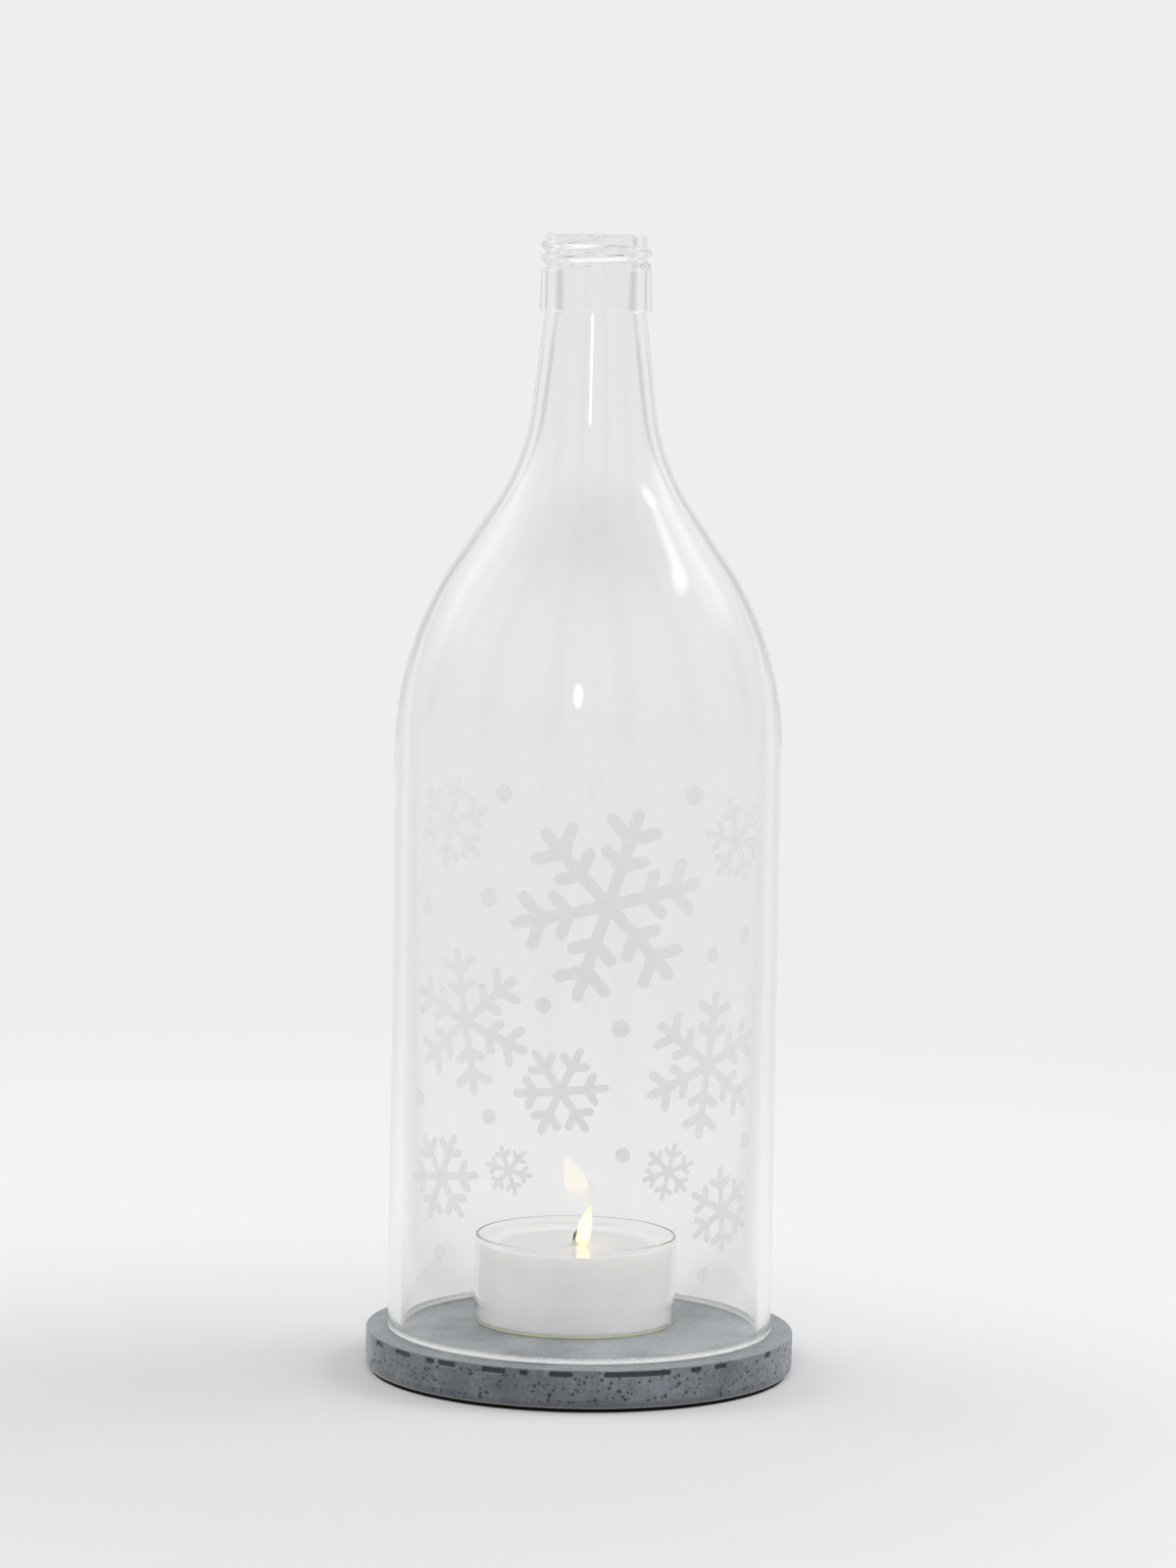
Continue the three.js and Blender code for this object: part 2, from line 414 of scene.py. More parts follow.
def lit_through(tree, clear, color):
    """A clear shader that lamps and light from the surroundings pass straight through."""
    path = add(tree, "LightPath")
    passing = maths(tree, "MAXIMUM", path.outputs["Is Shadow Ray"], path.outputs["Is Diffuse Ray"])
    straight = add(tree, "BsdfTransparent", {"Color": color})
    mixed = add(tree, "MixShader", {0: passing, 1: clear, 2: straight.outputs[0]})
    return mixed.outputs[0]


# Materials

def clear_glass(tree):
    """Polished flint glass, slightly wavy from the mould, with a faint grey that is partly its own and
    partly painted shade, dimming it as darker surroundings would.
    """
    coords = add(tree, "TexCoord").outputs["Object"]
    waves = add(tree, "TexNoise", {"Vector": coords, "Scale": 26.0, "Detail": 1.5})
    bump = add(tree, "Bump", {"Height": waves.outputs["Fac"], "Strength": 0.08, "Distance": 0.0006})
    glass = add(tree, "BsdfPrincipled", {
        # The grey is partly the glass's own and partly painted shade
        "Base Color": (0.96, 0.952, 0.955, 1),
        "Roughness": 0.0,
        "IOR": 1.5,
        "Transmission Weight": 1.0,
        "Normal": bump.outputs["Normal"],
    })
    return lit_through(tree, glass.outputs[0], (0.91, 0.91, 0.91, 1))


def bottle_glass():
    """The clear glass of the bottle's wall."""
    material, tree, output = blank_material("bottle_glass")
    tree.links.new(clear_glass(tree), output.inputs["Surface"])
    return material


def ground_glass():
    """The bottle's foot, ground to a fine white grain that frays out into the clear glass above it."""
    material, tree, output = blank_material("ground_glass")
    coords = add(tree, "TexCoord").outputs["Object"]
    height = add(tree, "SeparateXYZ", {0: coords}).outputs["Z"]
    grain = add(tree, "TexNoise", {"Vector": coords, "Scale": 900.0, "Detail": 3.0})
    bump = add(tree, "Bump", {"Height": grain.outputs["Fac"], "Strength": 0.6, "Distance": 0.0001})
    ground = add(tree, "BsdfPrincipled", {
        "Base Color": blend(tree, grain.outputs["Fac"], (0.86, 0.87, 0.86, 1), (0.98, 0.98, 0.97, 1)),
        "Roughness": 0.45,
        "IOR": 1.5,
        "Transmission Weight": 0.2,
        "Normal": bump.outputs["Normal"],
    })
    shaded = lit_through(tree, ground.outputs[0], (0.5, 0.5, 0.5, 1))
    frayed = maths(tree, "ADD", height, maths(tree, "MULTIPLY", grain.outputs["Fac"], GROUND_FRAY * MM))
    cover = ramp(tree, frayed, FOOT_ROUND * MM, GROUND_HEIGHT * MM, 1.0, 0.0)
    mixed = add(tree, "MixShader", {0: cover, 1: clear_glass(tree), 2: shaded})
    tree.links.new(mixed.outputs[0], output.inputs["Surface"])
    return material


def frosted_glass():
    """Etched white frost with a fine grain: it scatters most light to both sides and lets the rest straight
    through."""
    material, tree, output = blank_material("frosted_glass")
    coords = add(tree, "TexCoord").outputs["Object"]
    grain = add(tree, "TexNoise", {"Vector": coords, "Scale": 1100.0, "Detail": 3.0})
    shade = blend(tree, grain.outputs["Fac"], (0.76, 0.765, 0.765, 1), (0.87, 0.875, 0.875, 1))
    front = add(tree, "BsdfDiffuse", {"Color": shade})
    back = add(tree, "BsdfTranslucent", {"Color": shade})
    scatter = add(tree, "MixShader", {0: 0.5, 1: front.outputs[0], 2: back.outputs[0]})
    straight = add(tree, "BsdfTransparent", {"Color": (1, 1, 1, 1)})
    frost = add(tree, "MixShader", {0: FROST_COVER, 1: straight.outputs[0], 2: scatter.outputs[0]})
    tree.links.new(frost.outputs[0], output.inputs["Surface"])
    return material


def concrete():
    """Fine blue-grey cast concrete: a cloudy side with pinholes and voids painted near black as the shade
    inside them, painted shade towards its foot with a pale band of painted light along its edge, a thin dark
    line low on the side, and a smooth, lighter top with painted shade outside the bottle."""
    material, tree, output = blank_material("concrete")
    coords = add(tree, "TexCoord").outputs["Object"]
    normal = add(tree, "SeparateXYZ", {0: add(tree, "NewGeometry").outputs["Normal"]})
    height = add(tree, "SeparateXYZ", {0: coords}).outputs["Z"]
    voids = add(tree, "Attribute", attribute_name="void").outputs["Fac"]
    cloud = add(tree, "TexNoise", {"Vector": coords, "Scale": 45.0, "Detail": 8.0, "Roughness": 0.62})
    grain = add(tree, "TexNoise", {"Vector": coords, "Scale": 900.0, "Detail": 4.0, "Roughness": 0.7})
    facing_up = ramp(tree, normal.outputs["Z"], 0.35, 0.95, 0.0, 1.0)

    pinholes = add(tree, "TexVoronoi", {"Vector": coords, "Scale": 520.0})
    picked = add(tree, "SeparateColor", {0: pinholes.outputs["Color"]}).outputs[0]
    crowd = add(tree, "TexNoise", {"Vector": coords, "Scale": 70.0, "Detail": 2.0})
    chance = maths(tree, "MULTIPLY", picked, ramp(tree, crowd.outputs["Fac"], 0.35, 0.65, 0.5, 1.1))
    size = ramp(tree, chance, 0.25, 1.0, -0.05, 0.25)
    hole = ramp(tree, maths(tree, "SUBTRACT", pinholes.outputs["Distance"], size), -0.04, 0.02, 1.0, 0.0)
    hole = maths(tree, "MULTIPLY", hole, ramp(tree, facing_up, 0.0, 1.0, 1.0, 0.12))

    clouded = ramp(tree, cloud.outputs["Fac"], 0.35, 0.65, 0, 1)
    side = blend(tree, clouded, (0.088, 0.098, 0.111, 1), (0.155, 0.171, 0.189, 1))
    # Painted shade: the side darkens towards its foot, as shade from the floor close by would darken it
    foot = ramp(tree, height, 0.6 * LOW_LINE_HEIGHT * MM, 1.15 * LOW_LINE_HEIGHT * MM, 0.6, 0.0)
    side = blend(tree, foot, side, (0.065, 0.07, 0.075, 1))
    top = blend(tree, clouded, (0.19, 0.214, 0.232, 1), (0.35, 0.382, 0.404, 1))
    flat = add(tree, "VectorMath", {0: coords, 1: (1, 1, 0)}, operation="MULTIPLY").outputs["Vector"]
    from_middle = add(tree, "VectorMath", {0: flat}, operation="LENGTH").outputs["Value"]
    # Painted shade on the top outside the bottle
    outside_shade = ramp(tree, from_middle, (BODY_RADIUS - OUTSIDE_SHADE_FADE) * MM, (BODY_RADIUS + OUTSIDE_SHADE_FADE) * MM, 0.0, 0.6)
    top = blend(tree, outside_shade, top, (0.165, 0.184, 0.198, 1))
    shade = blend(tree, facing_up, side, top)
    speckle = ramp(tree, grain.outputs["Fac"], 0.3, 0.7, 0.8, 1.2)
    speckled = add(tree, "CombineColor", {0: speckle, 1: speckle, 2: speckle}).outputs[0]
    shade = blend(tree, 1.0, shade, speckled, "MULTIPLY")
    # Painted light: a pale band along the foot's edge, as the light it catches from the floor
    painted_foot_light = ramp(tree, height, FOOT_LIGHT_HEIGHTS[0] * MM, FOOT_LIGHT_HEIGHTS[1] * MM, 0.6, 0.0)
    shade = blend(tree, painted_foot_light, shade, (0.25, 0.245, 0.235, 1))
    # A thin dark line low on the side, broken up along its length
    from_low_line = maths(tree, "ABSOLUTE", maths(tree, "SUBTRACT", height, LOW_LINE_HEIGHT * MM))
    low_line = ramp(tree, from_low_line, 0.3 * LOW_LINE_WIDTH * MM, LOW_LINE_WIDTH * MM, 0.5, 0.0)
    low_line = maths(tree, "MULTIPLY", low_line, ramp(tree, crowd.outputs["Fac"], 0.4, 0.6, 0.0, 1.0))
    # Painted shade: pinholes and voids are painted near black, as the shade inside them
    sunk = maths(tree, "MAXIMUM", maths(tree, "MULTIPLY", hole, 0.95), maths(tree, "MULTIPLY", voids, 0.94))
    shade = blend(tree, maths(tree, "MAXIMUM", sunk, low_line), shade, (0.024, 0.026, 0.028, 1))

    relief = maths(tree, "SUBTRACT", maths(tree, "MULTIPLY", grain.outputs["Fac"], 0.25), hole)
    bump = add(tree, "Bump", {"Height": relief, "Strength": 0.5, "Distance": 0.0003})
    stone = add(tree, "BsdfPrincipled", {
        "Base Color": shade,
        "Roughness": ramp(tree, facing_up, 0.0, 1.0, 0.82, 0.48),
        "Sheen Weight": ramp(tree, facing_up, 0.0, 1.0, 0.45, 0.1),
        "Sheen Roughness": 0.4,
        "Normal": bump.outputs["Normal"],
    })
    tree.links.new(stone.outputs[0], output.inputs["Surface"])
    return material


def pad_rubber():
    """Matte black rubber with a fine grain."""
    material, tree, output = blank_material("pad_rubber")
    coords = add(tree, "TexCoord").outputs["Object"]
    grain = add(tree, "TexNoise", {"Vector": coords, "Scale": 1500.0, "Detail": 3.0})
    shade = blend(tree, grain.outputs["Fac"], (0.003, 0.003, 0.003, 1), (0.009, 0.009, 0.01, 1))
    bump = add(tree, "Bump", {"Height": grain.outputs["Fac"], "Strength": 0.5, "Distance": 0.0001})
    rubber = add(tree, "BsdfPrincipled", {
        "Base Color": shade,
        "Roughness": 0.9,
        "Specular IOR Level": 0.1,
        "Normal": bump.outputs["Normal"],
    })
    tree.links.new(rubber.outputs[0], output.inputs["Surface"])
    return material


def clear_cup():
    """Thin clear plastic, with a cloudy yellow-green painted at its foot as the light that the foot gathers.
    """
    material, tree, output = blank_material("clear_cup")
    coords = add(tree, "TexCoord").outputs["Object"]
    height = add(tree, "SeparateXYZ", {0: coords}).outputs["Z"]
    ripple = add(tree, "TexNoise", {"Vector": coords, "Scale": 130.0, "Detail": 2.0})
    bump = add(tree, "Bump", {"Height": ripple.outputs["Fac"], "Strength": 0.2, "Distance": 0.0003})
    # Painted light: the foot turns cloudy yellow-green, as the light it gathers
    foot = ramp(tree, height, CUP_FOOT_LIGHT_HEIGHTS[0] * MM, CUP_FOOT_LIGHT_HEIGHTS[1] * MM, 1.0, 0.0)
    plastic = add(tree, "BsdfPrincipled", {
        "Base Color": blend(tree, foot, (0.985, 0.99, 0.985, 1), (0.93, 0.94, 0.52, 1)),
        "Roughness": 0.04,
        "IOR": 1.5,
        "Transmission Weight": ramp(tree, foot, 0.0, 1.0, 1.0, 0.12),
        "Normal": bump.outputs["Normal"],
    })
    tree.links.new(lit_through(tree, plastic.outputs[0], (0.96, 0.96, 0.95, 1)), output.inputs["Surface"])
    return material


def wax():
    """White paraffin: soft light inside it, cloudy on its side, wet and smooth in the melted pool."""
    material, tree, output = blank_material("wax")
    coords = add(tree, "TexCoord").outputs["Object"]
    place = add(tree, "SeparateXYZ", {0: coords})
    flat = add(tree, "CombineXYZ", {0: place.outputs["X"], 1: place.outputs["Y"]}).outputs[0]
    from_wick = add(tree, "VectorMath", {0: flat}, operation="LENGTH").outputs["Value"]
    facing_up = add(tree, "SeparateXYZ", {0: add(tree, "NewGeometry").outputs["Normal"]}).outputs["Z"]
    pool = maths(
        tree, "MULTIPLY",
        ramp(tree, from_wick, (POOL_EDGE - POOL_FADE) * MM, (POOL_EDGE + BANK_WIDTH) * MM, 1.0, 0.0),
        ramp(tree, facing_up, 0.5, 0.9, 0.0, 1.0),
    )
    cloud = add(tree, "TexNoise", {"Vector": coords, "Scale": 110.0, "Detail": 4.0})
    clouded = ramp(tree, cloud.outputs["Fac"], 0.35, 0.65, 0, 1)
    shade = blend(tree, clouded, (0.85, 0.86, 0.855, 1), (0.9, 0.91, 0.905, 1))
    bump = add(tree, "Bump", {"Height": cloud.outputs["Fac"], "Strength": 0.15, "Distance": 0.0004})
    paraffin = add(tree, "BsdfPrincipled", {
        "Base Color": blend(tree, pool, shade, (0.72, 0.725, 0.71, 1)),
        "Roughness": ramp(tree, pool, 0.0, 1.0, 0.42, 0.16),
        "IOR": 1.43,
        "Subsurface Weight": 0.7,
        "Subsurface Radius": (1.0, 0.85, 0.7),
        "Subsurface Scale": 0.004,
        "Normal": bump.outputs["Normal"],
    })
    tree.links.new(paraffin.outputs[0], output.inputs["Surface"])
    return material


def burnt_wick():
    """Cotton braid, waxy and pale at its foot and charred black above."""
    material, tree, output = blank_material("burnt_wick")
    coords = add(tree, "TexCoord").outputs["Object"]
    height = add(tree, "SeparateXYZ", {0: coords}).outputs["Z"]
    fibre = add(tree, "TexNoise", {"Vector": coords, "Scale": 2500.0, "Detail": 4.0})
    char = ramp(tree, height, WAX_HEIGHT * MM, (WAX_HEIGHT + CHAR_RISE) * MM, 0.0, 1.0)
    soot = blend(tree, fibre.outputs["Fac"], (0.006, 0.005, 0.005, 1), (0.06, 0.052, 0.048, 1))
    bump = add(tree, "Bump", {"Height": fibre.outputs["Fac"], "Strength": 0.8, "Distance": 0.0002})
    braid = add(tree, "BsdfPrincipled", {
        "Base Color": blend(tree, char, (0.72, 0.68, 0.58, 1), soot),
        "Roughness": 0.9,
        "Normal": bump.outputs["Normal"],
    })
    tree.links.new(braid.outputs[0], output.inputs["Surface"])
    return material


def tinned_steel():
    """Thin tinned sheet, faintly brushed."""
    material, tree, output = blank_material("tinned_steel")
    coords = add(tree, "TexCoord").outputs["Object"]
    grain = add(tree, "TexNoise", {"Vector": coords, "Scale": 1200.0, "Detail": 2.0})
    metal = add(tree, "BsdfPrincipled", {
        "Base Color": blend(tree, grain.outputs["Fac"], (0.5, 0.5, 0.51, 1), (0.68, 0.68, 0.69, 1)),
        "Metallic": 1.0,
        "Roughness": ramp(tree, grain.outputs["Fac"], 0.3, 0.7, 0.25, 0.4),
    })
    tree.links.new(metal.outputs[0], output.inputs["Surface"])
    return material


def flame_core():
    """The white-hot middle of the flame, warmer towards its foot."""
    material, tree, output = blank_material("flame_core")
    height = add(tree, "SeparateXYZ", {0: add(tree, "TexCoord").outputs["Object"]}).outputs["Z"]
    warmth = ramp(tree, height, 0.0, 0.3 * FLAME_HEIGHT * MM, 1.0, 0.0)
    glow = add(tree, "Emission", {
        "Color": blend(tree, warmth, (1.0, 0.8, 0.36, 1), (1.0, 0.6, 0.24, 1)),
        "Strength": 3.2,
    })
    tree.links.new(glow.outputs[0], output.inputs["Surface"])
    return material


def flame_fringe():
    """The thin orange mantle round the flame, fading towards its foot."""
    material, tree, output = blank_material("flame_fringe")
    height = add(tree, "SeparateXYZ", {0: add(tree, "TexCoord").outputs["Object"]}).outputs["Z"]
    cover = ramp(tree, height, 0.0, FLAME_HEIGHT * MM, 0.12, 0.3)
    glow = add(tree, "Emission", {"Color": (1.0, 0.6, 0.22, 1), "Strength": 1.6})
    straight = add(tree, "BsdfTransparent", {"Color": (1, 1, 1, 1)})
    mantle = add(tree, "MixShader", {0: cover, 1: straight.outputs[0], 2: glow.outputs[0]})
    tree.links.new(mantle.outputs[0], output.inputs["Surface"])
    return material


# Bottle

def flank_outline(body_radius, shoulder_radius, sweep_radius, neck_radius):
    """One wall face of the bottle, from the top of its body to the top of its neck."""
    collar_foot = BOTTLE_HEIGHT - FINISH_HEIGHT - COLLAR_HEIGHT
    slope = math.radians(SHOULDER_SLOPE)
    neck_slope = math.radians(NECK_SLOPE)
    foot_radius = neck_radius + NECK_LENGTH * math.tan(neck_slope)
    sweep_centre = (
        foot_radius + sweep_radius * math.cos(neck_slope),
        collar_foot - NECK_LENGTH + sweep_radius * math.sin(neck_slope),
    )
    sweep = arc(sweep_centre, sweep_radius, 180 + SHOULDER_SLOPE, 180 + NECK_SLOPE, BOTTLE_ARC_STEP)
    run = body_radius - shoulder_radius * (1 - math.cos(slope)) - sweep[0][0]
    shoulder_centre = (
        body_radius - shoulder_radius,
        sweep[0][1] - run / math.tan(slope) - shoulder_radius * math.sin(slope),
    )
    return arc(shoulder_centre, shoulder_radius, 0, SHOULDER_SLOPE, BOTTLE_ARC_STEP) + sweep


def bottle_outline():
    """The whole wall, up the outside from the ground foot and down the inside."""
    collar_top = BOTTLE_HEIGHT - FINISH_HEIGHT
    collar_foot = collar_top - COLLAR_HEIGHT
    collar_radius = NECK_RADIUS + COLLAR_STEP
    bore = NECK_RADIUS - NECK_WALL
    inner = BODY_RADIUS - BODY_WALL
    outside = flank_outline(BODY_RADIUS, SHOULDER_RADIUS, NECK_SWEEP_RADIUS, NECK_RADIUS)
    inside = flank_outline(inner, SHOULDER_RADIUS - BODY_WALL, NECK_SWEEP_RADIUS + NECK_WALL, bore)
    foot = rounded([
        (inner, CONTACT_GAP, FOOT_ROUND),
        (BODY_RADIUS, CONTACT_GAP, FOOT_ROUND),
        (*outside[0], 0),
        (*inside[0], 0),
    ])[:-2]
    collar = rounded([
        (*outside[-1], 0),
        (NECK_RADIUS, collar_foot, COLLAR_FOOT_ROUND),
        (collar_radius, collar_foot, COLLAR_ROUND),
        (collar_radius - COLLAR_DRAFT, collar_top, COLLAR_ROUND),
        (NECK_RADIUS, collar_top, COLLAR_FOOT_ROUND),
        (NECK_RADIUS, BOTTLE_HEIGHT, LIP_ROUND),
        (bore, BOTTLE_HEIGHT, LIP_ROUND),
        (bore, collar_foot, 0),
    ])[1:-1]

    def spacing(radius, height):
        """Close rows on the outside of the finish for its thread, and no more points elsewhere."""
        on_finish = height > collar_top and radius > bore + LIP_INSET
        return THREAD_ROW if on_finish else BOTTLE_HEIGHT

    wall = divided(foot + [(BODY_RADIUS, GROUND_HEIGHT)] + outside + collar, spacing)
    return wall + [(bore, collar_foot)] + inside[::-1] + [(inner, GROUND_HEIGHT)]


def thread_rise(bearings, heights):
    """How far the right-hand screw thread stands out of the finish. It starts under the lip, winds down
    clockwise as seen from above, and fades in and out at its ends."""
    sweep = THREAD_TURNS * 360
    start = (THREAD_START - np.degrees(bearings)) % 360
    rise = np.zeros_like(heights)
    for lap in range(math.ceil(THREAD_TURNS)):
        turned = start + lap * 360
        middle = BOTTLE_HEIGHT - THREAD_DROP - THREAD_PITCH * turned / 360
        bead = eased(THREAD_FULLNESS * (1 - 2 * np.abs(heights - middle) / THREAD_WIDTH))
        fade = eased(np.minimum(turned, sweep - turned) / THREAD_RUNOUT)
        rise = np.maximum(rise, THREAD_HEIGHT * bead * fade)
    return rise


def make_bottle():
    """The bottle with its screw thread. The faces up to the top of its ground foot have their own glass."""
    bearings, radii, heights = turned_grid(bottle_outline(), BOTTLE_STEPS)
    outside_finish = (heights > BOTTLE_HEIGHT - FINISH_HEIGHT) & (radii > NECK_RADIUS - NECK_WALL / 2)
    radii = radii + np.where(outside_finish, thread_rise(bearings, heights), 0)
    mesh = turned_mesh("bottle", (bearings, radii, heights), closed=True)
    bottle = piece(mesh, bottle_foot, "bottle", [bottle_glass(), ground_glass()])
    # A hair above the ring of points at the top of the ground foot
    ground_top = 1.01 * GROUND_HEIGHT * MM
    for face in mesh.polygons:
        if all(mesh.vertices[v].co.z < ground_top for v in face.vertices):
            face.material_index = 1
    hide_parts("glass_bottle")


def crystal_outline(reach):
    """A plain six-armed snow crystal with pairs of branches on each arm and round ends everywhere. Half an
    arm along +X is worked out from its tip to the valley beside it, then mirrored and turned."""
    stroke, branches = SMALL_CRYSTAL if reach < SMALL_CRYSTAL_REACH else LARGE_CRYSTAL
    half = reach * stroke
    lean = math.radians(BRANCH_LEAN)
    slant = half / math.sin(lean)
    half_arm = arc((reach - half, 0), half, 0, 90, STROKE_END_STEP)
    for foot, length in branches:
        crossing = foot * reach + half / math.tan(lean)
        end = (reach * (foot + length * math.cos(lean)), reach * length * math.sin(lean))
        half_arm.append((crossing + slant, half))
        half_arm += arc(end, half, BRANCH_LEAN - 90, BRANCH_LEAN + 90, STROKE_END_STEP)
        half_arm.append((crossing - slant, half))
    half_arm.append((half / math.tan(math.pi / CRYSTAL_ARMS), half))
    mirrored = [(x, -y) for x, y in half_arm[:0:-1]]
    arm = mirrored[1:] + half_arm
    outline = []
    for k in range(CRYSTAL_ARMS):
        turn = Matrix.Rotation(2 * math.pi * k / CRYSTAL_ARMS, 2)
        outline += [turn @ Vector(place) for place in arm]
    return outline


def make_frost():
    """Thin closed shells in the shape of crystals and dots, wrapped round the outside of the body."""
    flat = bmesh.new()
    for along, height, reach, turn in CRYSTALS:
        spin = Matrix.Rotation(math.radians(turn), 2)
        outline = [spin @ place + Vector((along, height)) for place in crystal_outline(reach)]
        flat.faces.new([flat.verts.new((*place, 0)) for place in outline])
    for along, height, radius in DOTS:
        flat.faces.new([flat.verts.new((*place, 0)) for place in circle((along, height), radius)])
    span = BODY_RADIUS * math.pi / 2
    for x in np.arange(-span, span, WRAP_STEP):
        everything = flat.verts[:] + flat.edges[:] + flat.faces[:]
        bmesh.ops.bisect_plane(flat, geom=everything, dist=1e-4, plane_co=(x, 0, 0), plane_no=(1, 0, 0))
    grown = bmesh.ops.extrude_face_region(flat, geom=flat.faces[:], use_keep_orig=True)
    for vert in grown["geom"]:
        if isinstance(vert, bmesh.types.BMVert):
            vert.co.z = FROST_THICKNESS
    bmesh.ops.recalc_face_normals(flat, faces=flat.faces[:])
    for vert in flat.verts:
        bearing = FRONT + vert.co.x / BODY_RADIUS
        radius = BODY_RADIUS + FROST_GAP + vert.co.z
        vert.co = Vector((radius * math.cos(bearing), radius * math.sin(bearing), vert.co.y)) * MM
    mesh = bpy.data.meshes.new("frost_crystals")
    flat.to_mesh(mesh)
    flat.free()
    piece(mesh, bottle_foot, "bottle", [frosted_glass()])


# Base

def base_voids(bearings, heights):
    """How deep the casting voids under the top edge and the pores on the side are, from 0 to 1, and how
    far they sink the side."""
    draw = random.Random(VOID_SEED)
    voids = list(EDGE_VOIDS)
    span = (BACK_VOID_SPAN[1] - BACK_VOID_SPAN[0]) / BACK_VOIDS
    for k in range(BACK_VOIDS):
        bearing = BACK_VOID_SPAN[0] + span * (k + draw.uniform(*BACK_VOID_PLACE))
        voids.append((bearing, draw.uniform(*BACK_VOID_LENGTHS)))
    deep = np.zeros_like(heights)
    sunk = np.zeros_like(heights)
    for bearing, length in voids:
        offset = (bearings - FRONT - math.radians(bearing) + np.pi) % (2 * np.pi) - np.pi
        beyond = np.maximum(np.abs(offset) * BASE_RADIUS - (length - VOID_HEIGHT) / 2, 0)
        away = np.hypot(beyond, heights - (BASE_HEIGHT - VOID_DROP))
        here = eased((VOID_HEIGHT / 2 - away) / VOID_EDGE)
        deep = np.maximum(deep, here)
        sunk = np.maximum(sunk, VOID_DEPTH * here)
    for _ in range(PORES):
        bearing = draw.uniform(0, 2 * math.pi)
        height = draw.uniform(PORE_FOOT_MARGIN, BASE_HEIGHT - PORE_TOP_MARGIN)
        # The square makes most pores small
        radius = PORE_RADII[0] + (PORE_RADII[1] - PORE_RADII[0]) * draw.random() ** 2
        offset = (bearings - bearing + np.pi) % (2 * np.pi) - np.pi
        away = np.hypot(offset * BASE_RADIUS, heights - height)
        here = eased(PORE_STEEPNESS * (1 - away / radius))
        deep = np.maximum(deep, here)
        sunk = np.maximum(sunk, PORE_DEPTH * here)
    return deep, sunk


def make_base():
    """The concrete disc, with its voids and pores sunk into the side and told to its material, which paints
    them near black as the shade inside them.
    """
    outline = rounded([
        (CAP_RADIUS, 0, 0),
        (BASE_RADIUS, 0, BASE_FOOT_ROUND),
        (BASE_RADIUS, BASE_HEIGHT, BASE_TOP_ROUND),
        (CAP_RADIUS, BASE_HEIGHT, 0),
    ])
    side = BASE_RADIUS - BASE_TOP_ROUND

    def spacing(radius, height):
        """Close rows on the side for its voids and pores."""
        return BASE_ROW if radius > side and height > BASE_ROW_START else BASE_WIDE_ROW

    bearings, radii, heights = turned_grid(divided(outline, spacing), BASE_STEPS)
    deep, sunk = base_voids(bearings, heights)
    on_side = eased((radii - side) / BASE_TOP_ROUND)
    mesh = turned_mesh("base", (bearings, radii - sunk * on_side, heights))
    void = mesh.attributes.new("void", "FLOAT", "POINT")
    void.data.foreach_set("value", (deep * on_side).ravel())
    base = piece(mesh, base_foot, "base", [concrete()], sharp=60)
    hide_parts("concrete_base")


def make_pad():
    """The thin round pad under the base."""
    outline = rounded([
        (CAP_RADIUS, 0, 0),
        (PAD_RADIUS, 0, PAD_ROUND),
        (PAD_RADIUS, PAD_THICKNESS, PAD_ROUND),
        (CAP_RADIUS, PAD_THICKNESS, 0),
    ], support=0.05)
    mesh = turned_mesh("pad", turned_grid(outline, CANDLE_STEPS))
    pad = piece(mesh, pad_foot, "base", [pad_rubber()])
    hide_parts("foot_pad")


# Tealight

def make_cup():
    """The tealight's thin-walled cup."""
    bore = CUP_RADIUS - CUP_WALL
    outline = rounded([
        (CAP_RADIUS, CONTACT_GAP, 0),
        (CUP_RADIUS, CONTACT_GAP, CUP_FOOT_ROUND),
        (CUP_RADIUS, CUP_HEIGHT, CUP_RIM_ROUND),
        (bore, CUP_HEIGHT, CUP_RIM_ROUND),
        (bore, CUP_FLOOR, CUP_FOOT_ROUND - CUP_WALL),
        (CAP_RADIUS, CUP_FLOOR, 0),
    ], support=0.005)
    mesh = turned_mesh("cup", turned_grid(outline, CANDLE_STEPS))
    cup = piece(mesh, cup_foot, "candle", [clear_cup()])
    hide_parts("candle_cup")


